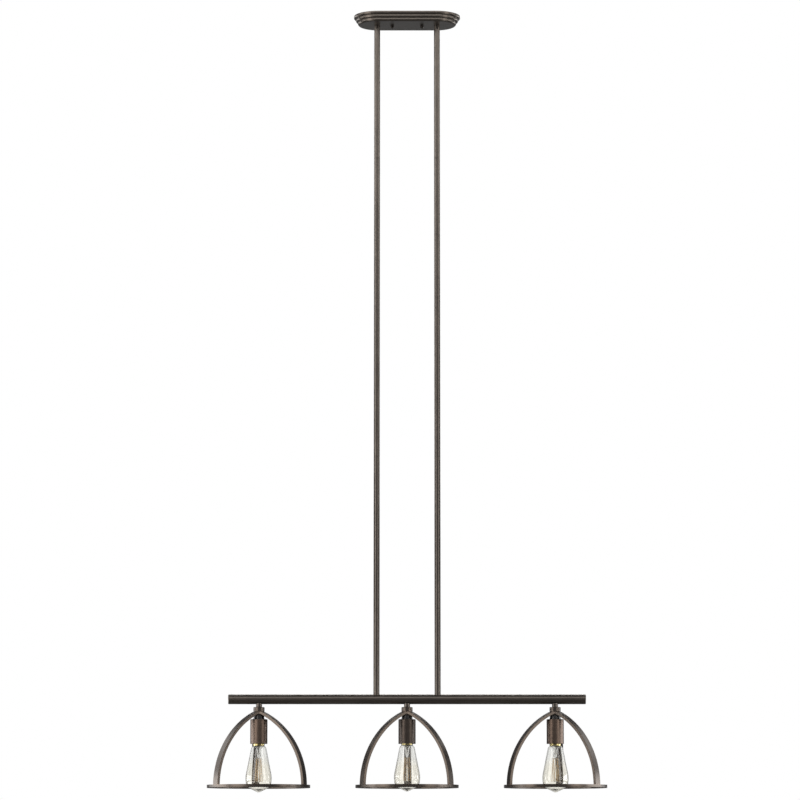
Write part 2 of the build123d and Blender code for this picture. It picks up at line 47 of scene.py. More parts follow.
# Camera: the photograph's viewpoint, just below the rings and far away
CAMERA_PLACE = (0.0, -7.4, -1.94)
CAMERA_PITCH = 7.42                    # degrees above the horizon
CAMERA_LENS = 145.0
CAMERA_SENSOR = 36.0
CAMERA_SHIFT = (-0.0088, 0.035)
CAMERA_REACH = 100.0                   # the farthest it sees, in metres

# Studio, in metres. A fade is where it begins and ends, then its values there if not 0 and 1.
FLOOR_HEIGHT = -2.65
FLOOR_RADIUS = 40.0
FLOOR_SIDES = 64
FLOOR_COLOUR = (0.25, 0.25, 0.245)
FLOOR_SEEN_FADE = (3.0, 14.0, 0.8, 1.0)        # how white it looks, by distance,
FLOOR_MIRRORED_FADE = (4.0, 10.0, 0.06, 0.22)  # and how white the metal mirrors it
FILL_COLOUR = (0.96, 0.97, 1.0)
FILL_LEVEL = 0.14                      # the dim studio round the object
FRONT_LEVEL = 0.50                     # and the lighter wall in front of it,
FRONT_FADE = (-0.6, -0.95)             # by the direction's Y
BACK_FADE = (0.93, 0.995, 0.0, 0.6)    # the white that metal mirrors from behind, by Y
HORIZON_FADE = (-0.36, -0.10)          # and by Z

WARM, NEUTRAL, COOL = (1.0, 0.95, 0.90), (1.0, 0.985, 0.965), (0.97, 0.985, 1.0)
SOFTBOXES = (
    # name, place, point it faces, size, radiance, colour, spread in degrees
    # tall ones at the front, one overhead, low ones at the ends
    ("front_left", (-1.05, -0.8, -0.6), (0, 0, -0.6), (0.62, 3.1), 1.95, WARM, 130.0),
    ("front_right", (1.15, -0.9, -0.6), (0, 0, -0.6), (0.55, 3.1), 1.6, WARM, 130.0),
    ("overhead", (0, -2.4, 0.85), (0, 0, -1.2), (3.4, 1.0), 2.4, NEUTRAL, 180.0),
    ("end_left", (-1.3, 0.0, -1.95), (-0.1, 0, -1.85), (0.8, 0.7), 2.6, COOL, 120.0),
    ("end_right", (1.3, 0.0, -1.95), (0.1, 0, -1.85), (0.8, 0.7), 2.6, COOL, 120.0),
    # small ones close behind the outer lamps, for their straps and rings
    ("rear_left", (-0.80, 0.20, -1.61), (-0.43, -0.05, -1.72), (0.22, 0.46), 2.4, COOL, 180.0),
    ("rear_right", (0.80, 0.20, -1.61), (0.43, -0.05, -1.72), (0.22, 0.46), 2.2, COOL, 180.0),
    # tall ones behind the rods, two beside the canopy, one high behind it all
    ("rear_left_tall", (-1.15, 0.8, -0.4), (0, 0, -0.4), (0.4, 1.2), 1.2, NEUTRAL, 90.0),
    ("rear_right_tall", (1.15, 0.8, -0.4), (0, 0, -0.4), (0.4, 1.2), 1.2, NEUTRAL, 90.0),
    ("top_left", (-1.5, -0.1, 0.1), (0, 0, 0), (0.8, 0.5), 1.6, NEUTRAL, 120.0),
    ("top_right", (1.5, -0.1, 0.1), (0, 0, 0), (0.8, 0.5), 1.6, NEUTRAL, 120.0),
    ("behind", (0, 2.4, 0.85), (0, 0, -1.5), (2.8, 0.8), 1.7, NEUTRAL, 90.0),
)


# ---------------------------------------------------------------- node helpers

def new_material(name):
    """A material, its node tree and its main shader."""
    material = bpy.data.materials.new(name)
    material.use_nodes = True
    tree = material.node_tree
    shader = tree.nodes["Principled BSDF"]
    return material, tree, shader


def add(tree, kind, **settings):
    """A new node, with its properties or its sockets' values set."""
    node = tree.nodes.new(kind)
    for key, value in settings.items():
        if hasattr(node, key):
            setattr(node, key, value)
        else:
            node.inputs[key].default_value = value
    return node


def place_coords(tree, scale=(1, 1, 1)):
    """Object coordinates, stretched along the axes."""
    coords = add(tree, "ShaderNodeTexCoord")
    mapping = add(tree, "ShaderNodeMapping")
    mapping.inputs["Scale"].default_value = scale
    tree.links.new(coords.outputs["Object"], mapping.inputs["Vector"])
    return mapping.outputs["Vector"]


def noise(tree, scale, detail=3.0, roughness=0.5, stretch=(1, 1, 1)):
    """Noise in object space, with scale cells to the metre where it isn't stretched."""
    node = add(tree, "ShaderNodeTexNoise", Scale=scale, Detail=detail, Roughness=roughness)
    tree.links.new(place_coords(tree, stretch), node.inputs["Vector"])
    return node.outputs["Fac"]


def remap(tree, value, low, high, start=0.0, end=1.0):
    """Start at low, end at high, and straight between them."""
    node = add(tree, "ShaderNodeMapRange")
    tree.links.new(value, node.inputs["Value"])
    node.inputs["From Min"].default_value = low
    node.inputs["From Max"].default_value = high
    node.inputs["To Min"].default_value = start
    node.inputs["To Max"].default_value = end
    return node.outputs["Result"]


def spread_out(tree, value, start=0.0, end=1.0):
    """A noise's usual values, 0.3 to 0.7, spread over a range."""
    return remap(tree, value, 0.3, 0.7, start, end)


def mix_colour(tree, factor, first, second, blend="MIX"):
    """Blends two colours; each input is a value or another node's socket."""
    node = add(tree, "ShaderNodeMix", data_type="RGBA", blend_type=blend)
    sockets = {s.identifier: s for s in node.inputs}
    for key, value in (("Factor_Float", factor), ("A_Color", first), ("B_Color", second)):
        socket = sockets[key]
        if isinstance(value, (int, float)):
            socket.default_value = value
        elif isinstance(value, tuple):
            socket.default_value = (*value, 1.0)
        else:
            tree.links.new(value, socket)
    return [s for s in node.outputs if s.identifier == "Result_Color"][0]


def maths(tree, operation, first, second=0.0):
    """One operation on two inputs, each a number or another node's socket."""
    node = add(tree, "ShaderNodeMath", operation=operation)
    for socket, value in zip(node.inputs, (first, second)):
        if isinstance(value, (int, float)):
            socket.default_value = value
        else:
            tree.links.new(value, socket)
    return node.outputs["Value"]


def bump(tree, shader, height, strength, distance):
    """Fine relief, its depth in metres."""
    node = add(tree, "ShaderNodeBump", Strength=strength, Distance=distance)
    tree.links.new(height, node.inputs["Height"])
    tree.links.new(node.outputs["Normal"], shader.inputs["Normal"])


def finish(tree, shader, tone, gloss, metallic=0.0):
    """Colour and roughness from nodes, and how metallic the surface is."""
    tree.links.new(tone, shader.inputs["Base Color"])
    tree.links.new(gloss, shader.inputs["Roughness"])
    shader.inputs["Metallic"].default_value = metallic


def edges(tree, radius):
    """1 along the edges of a piece, 0 on its faces."""
    rounded = add(tree, "ShaderNodeBevel", samples=6, Radius=radius)
    geometry = add(tree, "ShaderNodeNewGeometry")
    agreement = add(tree, "ShaderNodeVectorMath", operation="DOT_PRODUCT")
    tree.links.new(rounded.outputs["Normal"], agreement.inputs[0])
    tree.links.new(geometry.outputs["Normal"], agreement.inputs[1])
    return remap(tree, agreement.outputs["Value"], *EDGE_FADE)


# ---------------------------------------------------------------- materials

BRONZE_TONES = {                       # shade in the hollows, shade where it is rubbed
    "grey": ((0.064, 0.057, 0.051), (0.108, 0.094, 0.082)),
    "brown": ((0.052, 0.045, 0.039), (0.090, 0.073, 0.061)),
    "red": ((0.074, 0.055, 0.044), (0.118, 0.085, 0.067)),
    # middle: the red cup tone made darker for the middle lamp's cup only, painted shade for the
    # lesser light that falls on it
    "middle": ((0.046, 0.037, 0.032), (0.076, 0.061, 0.052)),
    "deep": ((0.020, 0.018, 0.016), (0.036, 0.031, 0.028)),
}
BRONZE_WORN = (0.24, 0.165, 0.12)      # specks everywhere, and edges that are rubbed through
BRONZE_METALLIC = 0.88
WORN_EDGE = 0.0009                     # metres from the edge
EDGE_FADE = (0.99, 0.86)               # cosine of the turn from the face to the rounded edge
GRAIN_ALONG = {"x": (12, 900, 900), "z": (900, 900, 12), "none": (320, 320, 320)}
GLASS_IOR = 1.5
GLASS_EDGE_POWER = 2.2                 # how narrow the painted dark rim along the glass's edge is
NECK_TONE_LOW, NECK_TONE_HIGH = -1.757, -1.735  # where the bulbs' glass turns from cream below to greyer above, in metres


def bronze(name, grain, shade, roughness=0.25, worn=False):
    """Oil-rubbed bronze: dark, warm, softly glossy, brushed along the piece."""
    material, tree, shader = new_material(name)
    mottle = noise(tree, 16.0, 3.0, 0.5)
    speckle = noise(tree, 2600.0, 2.0)
    brushing = noise(tree, 1.0, 3.0, 0.6, GRAIN_ALONG[grain])
    blotches = maths(tree, "ADD", spread_out(tree, mottle, 0.0, 0.45),
                     spread_out(tree, brushing, 0.0, 0.55))
    tone = mix_colour(tree, blotches, *BRONZE_TONES[shade])
    if worn:
        patches = remap(tree, mottle, 0.35, 0.65, 0.15, 0.75)
        wear = maths(tree, "MULTIPLY", edges(tree, WORN_EDGE), patches)
        tone = mix_colour(tree, wear, tone, BRONZE_WORN)
    tone = mix_colour(tree, remap(tree, speckle, 0.58, 0.78, 0.0, 0.16), tone, BRONZE_WORN)
    gloss = maths(tree, "ADD", spread_out(tree, brushing, roughness, roughness + 0.08),
                  spread_out(tree, speckle, -0.02, 0.04))
    finish(tree, shader, tone, gloss, BRONZE_METALLIC)
    height = maths(tree, "ADD", maths(tree, "MULTIPLY", brushing, 0.6),
                   maths(tree, "MULTIPLY", speckle, 0.5))
    bump(tree, shader, height, 0.2, 0.00006)
    return material


def black_enamel():
    """Baked black enamel with a slight orange peel."""
    material, tree, shader = new_material("black_enamel")
    mottle = noise(tree, 120.0, 4.0)
    peel = noise(tree, 900.0, 2.0)
    tone = mix_colour(tree, spread_out(tree, mottle), (0.009, 0.009, 0.010),
                      (0.019, 0.018, 0.018))
    finish(tree, shader, tone, spread_out(tree, peel, 0.24, 0.36))
    bump(tree, shader, peel, 0.3, 0.00005)
    return material


def zinc():
    """Zinc plate: bright, faintly yellow and blue in patches, with fine drawn lines."""
    material, tree, shader = new_material("zinc_plate")
    patches = noise(tree, 60.0, 3.0)
    lines = noise(tree, 1.0, 2.0, 0.5, (40, 2200, 2200))
    tone = mix_colour(tree, remap(tree, patches, 0.35, 0.65), (0.50, 0.51, 0.53),
                      (0.62, 0.58, 0.48))
    tone = mix_colour(tree, remap(tree, lines, 0.3, 0.8, 0.0, 0.4), tone, (0.30, 0.30, 0.30))
    finish(tree, shader, tone, spread_out(tree, lines, 0.26, 0.42), 1.0)
    bump(tree, shader, lines, 0.2, 0.00006)
    return material


def brass():
    """Brass darker all over than bright brass, partly tarnish and partly painted shade for the
    cup above its collar; tarnished further in patches and scratched round its threads.
    """
    material, tree, shader = new_material("brass_tarnish_and_painted_shade")
    tarnish = noise(tree, 180.0, 4.0, 0.6)
    scratches = noise(tree, 1.0, 2.0, 0.5, (260, 260, 4000))
    # both tones are darkened brass: tarnish together with painted shade from the cup
    tone = mix_colour(tree, remap(tree, tarnish, 0.4, 0.75), (0.38, 0.32, 0.15),
                      (0.21, 0.175, 0.08))
    finish(tree, shader, tone, spread_out(tree, scratches, 0.14, 0.28), 1.0)
    bump(tree, shader, scratches, 0.15, 0.00004)
    return material


def plastic(name, colour, gloss=0.42, grain_scale=700.0):
    """Moulded plastic with a fine grain and slightly uneven colour."""
    material, tree, shader = new_material(name)
    grain = noise(tree, grain_scale, 3.0)
    cloud = noise(tree, 90.0, 2.0)
    darker = tuple(c * 0.72 for c in colour)
    tone = mix_colour(tree, spread_out(tree, cloud), colour, darker)
    finish(tree, shader, tone, spread_out(tree, grain, gloss - 0.06, gloss + 0.08))
    bump(tree, shader, grain, 0.25, 0.00005)
    return material


def clear_glass(name, tint, neck_tone, painted_rim_colour, ripple_depth):
    """Clear glass, greyer near the neck than lower down, with a painted dark rim where it is seen
    edge-on.
    """
    material, tree, shader = new_material(name)
    facing = add(tree, "ShaderNodeLayerWeight", Blend=0.5)
    # painted shade: the facing angle turned into a dark rim where the glass is seen edge-on
    depth = maths(tree, "POWER", facing.outputs["Facing"], GLASS_EDGE_POWER)
    ripple = noise(tree, 55.0, 2.0, 0.4, (1, 1, 0.35))
    heights = add(tree, "ShaderNodeSeparateXYZ")
    tree.links.new(place_coords(tree), heights.inputs["Vector"])
    neck_share = remap(tree, heights.outputs["Z"], NECK_TONE_LOW, NECK_TONE_HIGH)
    streaks = noise(tree, 1.0, 3.0, 0.5, (300, 300, 45))
    clear = mix_colour(tree, neck_share, tint, neck_tone)
    thick = mix_colour(tree, remap(tree, streaks, 0.4, 0.7), (1.0, 1.0, 1.0),
                       (0.94, 0.94, 0.93))
    clear = mix_colour(tree, 1.0, clear, thick, "MULTIPLY")
    # the painted dark rim is mixed over the glass's colour here
    tree.links.new(mix_colour(tree, depth, clear, painted_rim_colour), shader.inputs["Base Color"])
    shader.inputs["Transmission Weight"].default_value = 1.0
    shader.inputs["IOR"].default_value = GLASS_IOR
    shader.inputs["Roughness"].default_value = 0.0
    bump(tree, shader, ripple, 0.2, ripple_depth)
    return material


def wire_metal(name, dark, light):
    """Drawn or melted metal, dulled in patches."""
    material, tree, shader = new_material(name)
    patches = noise(tree, 900.0, 3.0)
    tone = mix_colour(tree, remap(tree, patches, 0.35, 0.65), dark, light)
    finish(tree, shader, tone, spread_out(tree, patches, 0.25, 0.45), 1.0)
    return material


MATERIALS = {
    "bronze_rod": bronze("bronze_rod", "z", "grey"),
    "bronze_bar": bronze("bronze_bar", "x", "grey"),
    "bronze_canopy": bronze("bronze_canopy", "none", "grey"),
    "bronze_cage": bronze("bronze_cage", "none", "brown", worn=True),
    "bronze_cup": bronze("bronze_cup", "z", "red", 0.34),
    # the middle lamp's cup: a darker copy of the outer cups' bronze, painted shade
    "bronze_cup_painted_shade_middle": bronze("bronze_cup_painted_shade_middle", "z", "middle", 0.34),
    "bronze_nut": bronze("bronze_nut", "none", "deep"),
    "black": black_enamel(),
    "zinc": zinc(),
    "brass": brass(),
    # the third colour of each glass is its painted dark rim
    "glass": clear_glass("bulb_glass", (0.96, 0.945, 0.895), (0.94, 0.94, 0.925),
                         (0.05, 0.045, 0.03), 0.00012),
    "stem_glass": clear_glass("stem_glass", (0.95, 0.95, 0.94), (0.90, 0.90, 0.89),
                              (0.30, 0.29, 0.27), 0.0002),
    "tungsten": wire_metal("tungsten", (0.42, 0.28, 0.15), (0.78, 0.60, 0.36)),
    "phenolic": plastic("phenolic", (0.020, 0.019, 0.018), 0.5),
    "screw_green": plastic("screw_green", (0.03, 0.20, 0.06), 0.3),
    "wire_black": plastic("wire_black", (0.012, 0.012, 0.013), 0.38),
    "wire_white": plastic("wire_white", (0.72, 0.71, 0.67), 0.38),
    "wire_green": plastic("wire_green", (0.03, 0.24, 0.07), 0.38),
    "connector": plastic("connector", (0.62, 0.20, 0.03), 0.45),
    "black_glass": plastic("black_glass", (0.012, 0.010, 0.014), 0.12, 300.0),
    "support_wire": wire_metal("support_wire", (0.24, 0.20, 0.16), (0.42, 0.36, 0.29)),
    "solder": wire_metal("solder", (0.40, 0.40, 0.41), (0.60, 0.60, 0.60)),
}

# Slots whose material has another name, and the bronzes by how a node's name starts
SLOT_MATERIAL = {"insulator": "phenolic", "filament": "tungsten"}
# socket_cup_middle takes the darker cup bronze, which is painted shade
BRONZE_MATERIAL = {"socket_cup_middle": "bronze_cup_painted_shade_middle", "socket_cup": "bronze_cup",
                   "rod_": "bronze_rod", "lamp_stems": "bronze_rod", "crossbar": "bronze_bar",
                   "cage": "bronze_cage", "canopy_cap": "bronze_nut", "": "bronze_canopy"}


def material_for(node, slot):
    """The material of a CAD node: its slot's, or a bronze by its name."""
    if slot == "bronze":
        return next(key for start, key in BRONZE_MATERIAL.items() if node.startswith(start))
    return SLOT_MATERIAL.get(slot, slot)


def dress_nodes():
    """Gives every CAD node its finish, by its slot in the record."""
    for entry in frame["record"]["subparts"]:
        mesh = NODES[entry["node"]].data
        mesh.materials.clear()
        mesh.materials.append(MATERIALS[material_for(entry["node"], entry["material_slot"])])


# ---------------------------------------------------------------- mesh helpers, in millimetres

ON_AXIS = 1e-6                         # a smaller radius is a pole


def make_piece(name, mesh_data, material, body, nodes=(), sharp=40.0):
    """A smooth-shaded piece that rides on a body and stands for CAD nodes."""
    vertices, faces = mesh_data
    mesh = bpy.data.meshes.new(name)
    mesh.from_pydata([tuple(c * MM for c in vertex) for vertex in vertices], [], faces)
    work = bmesh.new()
    work.from_mesh(mesh)
    bmesh.ops.recalc_face_normals(work, faces=work.faces)
    work.to_mesh(mesh)
    work.free()
    mesh.shade_smooth()
    mesh.set_sharp_from_angle(angle=math.radians(sharp))
    mesh.materials.append(MATERIALS[material])
    piece = bpy.data.objects.new(name, mesh)
    bpy.context.scene.collection.objects.link(piece)
    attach(piece, body)
    if nodes:
        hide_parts(*nodes)
    return piece


def joined(parts):
    """Several (vertices, faces) as one."""
    vertices, faces = [], []
    for part_vertices, part_faces in parts:
        start = len(vertices)
        vertices += part_vertices
        faces += [[corner + start for corner in face] for face in part_faces]
    return vertices, faces


def skin(rings, closed):
    """Faces between neighbouring rings of vertex numbers; a pole repeats one number."""
    faces = []
    following = rings[1:] + (rings[:1] if closed else [])
    for upper, lower in zip(rings, following):
        for here in range(len(upper)):
            there = (here + 1) % len(upper)
            corners = list(dict.fromkeys([upper[here], lower[here], lower[there], upper[there]]))
            if len(corners) > 2:
                faces.append(corners)
    return faces


def lathe(profile, centre, segments=72, closed=True, shape=None):
    """Turns (radius, height) points about an upright axis; shape may move each point."""
    vertices, rings = [], []
    for radius, height in profile:
        start = len(vertices)
        if radius < ON_AXIS:
            vertices.append((centre, 0.0, height))
            rings.append([start] * segments)
            continue
        for step in range(segments):
            angle = math.tau * step / segments
            reach = shape(radius, height, angle) if shape else radius
            wide, deep = reach if isinstance(reach, tuple) else (reach, reach)
            vertices.append((centre + wide * math.cos(angle), deep * math.sin(angle), height))
        rings.append(list(range(start, start + segments)))
    return vertices, skin(rings, closed)


def wire(path, radius, sides=8, closed=False):
    """Round wire along a line of points."""
    points = [Vector(point) for point in path]
    vertices, rings = [], []
    normal = None
    for index, point in enumerate(points):
        before = points[index - 1] if index or closed else point
        after = points[(index + 1) % len(points)] if index + 1 < len(points) or closed else point
        along = (after - before).normalized()
        if normal is None:
            normal = along.orthogonal()
        normal = (normal - along * normal.dot(along)).normalized()
        across = along.cross(normal)
        start = len(vertices)
        for side in range(sides):
            angle = math.tau * side / sides
            edge = point + radius * (math.cos(angle) * normal + math.sin(angle) * across)
            vertices.append(tuple(edge))
        rings.append(list(range(start, start + sides)))
    faces = skin(rings, closed)
    if not closed:
        faces += [rings[0][::-1], rings[-1]]
    return vertices, faces


def arc(start, tangent, end, count):
    """Points after start on the circle that leaves it along tangent and meets end."""
    start, end, tangent = Vector(start), Vector(end), Vector(tangent).normalized()
    chord = end - start
    side = Vector((-tangent.y, tangent.x))
    reach = chord.length_squared / (2 * chord.dot(side))
    centre = start + side * reach
    sweep = 2 * math.atan2(tangent.x * chord.y - tangent.y * chord.x, tangent.dot(chord))
    points = []
    for step in range(1, count + 1):
        turn = sweep * step / count
        arm = start - centre
        points.append((centre.x + arm.x * math.cos(turn) - arm.y * math.sin(turn),
                       centre.y + arm.x * math.sin(turn) + arm.y * math.cos(turn)))
    leaving = Vector((tangent.x * math.cos(sweep) - tangent.y * math.sin(sweep),
                      tangent.x * math.sin(sweep) + tangent.y * math.cos(sweep)))
    return points, leaving


def line(start, end, count):
    """Points after start on the straight way to end."""
    return [tuple(Vector(start).lerp(Vector(end), step / count)) for step in range(1, count + 1)]


# ---------------------------------------------------------------- bulbs

LAMP_SPACING = 339.0
LAMP_X = {"left": -LAMP_SPACING, "middle": 0.0, "right": LAMP_SPACING}
BULB_LIFT = {"left": 0.0, "middle": 2.0, "right": 0.0}
COLLAR_BOTTOM = -1709.4
GLASS_WALL = 0.9

# Outlines as (radius, height), from the top down outside and back up inside
STEM_OUTLINE = [
    (11.7, COLLAR_BOTTOM), (11.4, -1710.2), (8.0, -1713.4), (5.6, -1716.2), (4.7, -1719.5),
    (4.4, -1724.0), (4.1, -1728.0), (3.6, -1732.0), (2.6, -1735.0), (1.7, -1736.2),
    (1.7, -1736.8), (2.5, -1737.4), (2.8, -1738.3), (2.4, -1739.3), (1.6, -1740.2),
    (1.4, -1742.0), (1.4, -1787.6), (1.6, -1788.4), (2.4, -1789.3), (2.6, -1790.3),
    (2.1, -1791.3), (1.2, -1791.9), (0.0, -1792.0),
    (0.0, -1729.0), (1.6, -1728.4), (3.0, -1726.0), (3.6, -1719.5), (4.6, -1716.6),
    (7.2, -1713.6), (10.7, -1710.4), (10.9, COLLAR_BOTTOM)]
PINCH_HEIGHT, PINCH_HALF = -1731.5, 4.0
PINCH_WIDER, PINCH_THINNER = 0.30, 0.45
SHELL_MOUTH = [(10.6, -1686.5), (11.7, -1687.1)]
SHELL_COLLAR = [(12.7, -1703.1), (13.1, -1703.8), (13.2, -1704.4), (13.2, -1708.9),
                (13.0, -1709.3), (12.7, -1709.4), (12.5, -1708.8), (11.4, -1708.0),
                (11.4, -1697.0), (0.0, -1696.4)]
INSULATOR_OUTLINE = [(4.4, -1681.9), (5.4, -1682.0), (7.4, -1683.2), (9.6, -1685.3),
                     (10.5, -1686.2), (10.6, -1686.6), (9.6, -1688.4), (4.0, -1686.0),
                     (4.0, -1682.2)]
SOLDER_OUTLINE = [(0.0, -1680.0), (1.8, -1680.1), (3.2, -1680.5), (4.1, -1681.2),
                  (4.5, -1682.0), (4.4, -1682.5), (0.0, -1682.5)]
THREAD_TOP, THREAD_ROOT, THREAD_DEPTH = -1688.1, 12.2, 0.85
THREAD_PITCH, THREAD_TURNS, THREAD_FADE = 3.6, 4.0, 0.5
THREAD_ROWS = 56

# The filament's wires. A hook's points are (radius, height above its spider), a bend's are
# (radius, turn in radians, height above its spider), and the lead-in's heights are whole.
STRANDS = 8
TOP_SPIDER, LOW_SPIDER = -1738.0, -1790.0
HOOK_WIRE, LEAD_WIRE, FILAMENT_WIRE = 0.22, 0.35, 0.36
TOP_HOOK = [(1.8, -0.4), (4.4, 0.3), (6.0, 0.0), (6.4, -0.6), (6.0, -1.1)]
LOW_HOOK = [(1.8, 0.0), (6.0, -0.5), (9.1, 0.0), (9.5, 0.8), (9.0, 1.3)]
TOP_BEND = [(6.0, -0.05, -0.5), (6.1, 0.0, 0.1), (6.0, 0.05, -0.5)]
LOW_BEND = [(9.1, -0.04, 0.5), (9.2, 0.0, -0.1), (9.1, 0.04, 0.5)]
LEAD_IN = [(2.2, -1714.0), (2.4, -1727.0), (3.2, -1731.0), (4.6, -1734.5),
           (5.6, TOP_SPIDER - 0.2)]


def lifted(lamp, outline):
    """An outline at the height of this lamp's bulb."""
    return [(radius, height + BULB_LIFT[lamp]) for radius, height in outline]


def envelope_side(inset):
    """Pear outline from the neck to the shallow point, drawn in by the wall's thickness."""
    neck = (12.6 - inset, COLLAR_BOTTOM)
    shoulder = (17.6 - inset, -1716.0)
    taper = (28.8 - inset, -1772.0)
    belly = (29.2 - inset, -1793.0)
    heel = (19.5 - inset / 2, -1806.5 + inset)
    nib = (3.0, -1814.4 + inset)
    tip = (0.0, -1815.2 + inset)
    slope = Vector(taper) - Vector(shoulder)
    upper, _ = arc(shoulder, -slope, neck, 10)
    middle, leaving = arc(taper, slope, belly, 10)
    lower, _ = arc(belly, leaving, heel, 14)
    end, _ = arc(tip, (1.0, 0.0), nib, 5)
    points = upper[::-1] + [shoulder] + line(shoulder, taper, 8) + middle + lower
    return points + line(heel, nib, 6) + end[-2::-1] + [tip]


def make_envelope(lamp):
    """The clear pear-shaped glass, with its outer and inner face."""
    sides = envelope_side(0.0) + envelope_side(GLASS_WALL)[::-1]
    profile = lifted(lamp, [(max(radius, 0.0), height) for radius, height in sides])
    make_piece(f"envelope_{lamp}", lathe(profile, LAMP_X[lamp], segments=96), "glass",
               f"bulb_{lamp}", [f"bulb_glass_{lamp}"])


def make_stem_glass(lamp):
    """Flared glass tube, pinched flat round the lead-in wires, with a rod and two beads below."""

    def pinch(radius, height, angle):
        press = max(0.0, 1.0 - abs(height - BULB_LIFT[lamp] - PINCH_HEIGHT) / PINCH_HALF)
        return radius * (1.0 + PINCH_WIDER * press), radius * (1.0 - PINCH_THINNER * press)

    stem = lathe(lifted(lamp, STEM_OUTLINE), LAMP_X[lamp], segments=48, shape=pinch)
    make_piece(f"stem_glass_{lamp}", stem, "stem_glass", f"bulb_{lamp}",
               [f"bulb_filament_{lamp}"], sharp=60.0)


def on_circle(lamp, radius, angle, height):
    """The point at an angle round the lamp's axis."""
    return (LAMP_X[lamp] + radius * math.cos(angle), radius * math.sin(angle),
            height + BULB_LIFT[lamp])


def upright_wire(lamp, angle, level, outline, thickness):
    """Wire in the upright plane at an angle round the lamp's axis."""
    path = [on_circle(lamp, radius, angle, level + height) for radius, height in outline]
    return wire(path, thickness)


def bend(lamp, angle, level, points):
    """The filament's way over one hook."""
    return [on_circle(lamp, radius, angle + turn, level + height)
            for radius, turn, height in points]


def make_filament(lamp):
    """One filament strung up and down between two spiders of support wires."""
    step = math.tau / STRANDS
    supports, strand = [], []
    for number in range(STRANDS):
        high, low = number * step, (number + 0.5) * step
        supports.append(upright_wire(lamp, high, TOP_SPIDER, TOP_HOOK, HOOK_WIRE))
        supports.append(upright_wire(lamp, low, LOW_SPIDER, LOW_HOOK, HOOK_WIRE))
        strand += bend(lamp, high, TOP_SPIDER, TOP_BEND) + bend(lamp, low, LOW_SPIDER, LOW_BEND)
    for side in (0.0, math.pi):
        supports.append(upright_wire(lamp, side, 0.0, LEAD_IN, LEAD_WIRE))
    make_piece(f"supports_{lamp}", joined(supports), "support_wire", f"bulb_{lamp}",
               [f"bulb_filament_{lamp}"])
    make_piece(f"filament_{lamp}", wire(strand, FILAMENT_WIRE, closed=True), "tungsten",
               f"bulb_{lamp}", [f"bulb_filament_{lamp}"])


def make_base(lamp):
    """Screw base: a rolled brass shell, its black glass insulator and soldered tip."""
    centre, body, node = LAMP_X[lamp], f"bulb_{lamp}", [f"bulb_base_{lamp}"]

    def rolled(radius, height, angle):
        turned = (THREAD_TOP + BULB_LIFT[lamp] - height) / THREAD_PITCH
        if turned <= 0 or turned >= THREAD_TURNS or radius < THREAD_ROOT - 0.01:
            return radius
        fade = min(1.0, turned / THREAD_FADE, (THREAD_TURNS - turned) / THREAD_FADE)
        wave = 0.5 - 0.5 * math.cos(math.tau * turned - angle)
        return radius + THREAD_DEPTH * fade * wave

    thread = [(THREAD_ROOT, THREAD_TOP - THREAD_PITCH * THREAD_TURNS * row / THREAD_ROWS)
              for row in range(THREAD_ROWS + 1)]
    outline = lifted(lamp, SHELL_MOUTH + thread + SHELL_COLLAR)
    shell = lathe(outline, centre, closed=False, shape=rolled)
    make_piece(f"base_shell_{lamp}", shell, "brass", body, node, sharp=55.0)
    insulator = lathe(lifted(lamp, INSULATOR_OUTLINE), centre, segments=64)
    make_piece(f"base_insulator_{lamp}", insulator, "black_glass", body, node)
    solder = lathe(lifted(lamp, SOLDER_OUTLINE), centre, segments=48)
    make_piece(f"base_solder_{lamp}", solder, "solder", body, node)


# ---------------------------------------------------------------- wiring in the canopy

CONNECTOR_PLACES = ((-32.0, 20.0, -6.0), (-32.0, 32.0, -8.2), (40.0, 24.0, -9.0))
CONNECTOR_SKIRT = [(5.2, 0.0), (5.4, 0.5), (5.3, 2.4), (5.0, 3.0)]
CONNECTOR_TAPER = [(5.0 - 1.3 * step / 8, 3.0 + 14.6 * step / 8) for step in range(1, 9)]
CONNECTOR_TIP = [(3.4, 18.8), (2.6, 19.7), (0.0, 20.0)]
CONNECTOR_BORE = [(0.0, 9.0), (2.6, 8.6), (4.2, 0.6), (4.4, 0.0)]
FLUTES, FLUTE_DEPTH = 14, 0.34
FLUTE_START, FLUTE_END, FLUTE_FLOOR = 2.6, 18.6, 3.0
FLUTE_RUN_IN, FLUTE_RUN_OUT = 0.8, 1.2


def make_connectors():
    """Fluted twist-on connectors in place of the plain cones, lying along X."""

    def fluted(radius, along, angle):
        grip = min(1.0, max(0.0, (along - FLUTE_START) / FLUTE_RUN_IN),
                   max(0.0, (FLUTE_END - along) / FLUTE_RUN_OUT))
        cut = FLUTE_DEPTH * grip if radius > FLUTE_FLOOR and along > FLUTE_START else 0.0
        return radius - cut * (0.5 + 0.5 * math.cos(FLUTES * angle))

    outline = CONNECTOR_SKIRT + CONNECTOR_TAPER + CONNECTOR_TIP + CONNECTOR_BORE
    vertices, faces = lathe(outline, 0.0, segments=84, shape=fluted)
    # the turned shape's axis lies along X, from the mouth of each connector
    parts = [([(mouth + z, across + x, height + y) for x, y, z in vertices], faces)
             for mouth, across, height in CONNECTOR_PLACES]
    make_piece("ribbed_connectors", joined(parts), "connector", "fixture",
               ["wire_connectors"])


# ---------------------------------------------------------------- studio

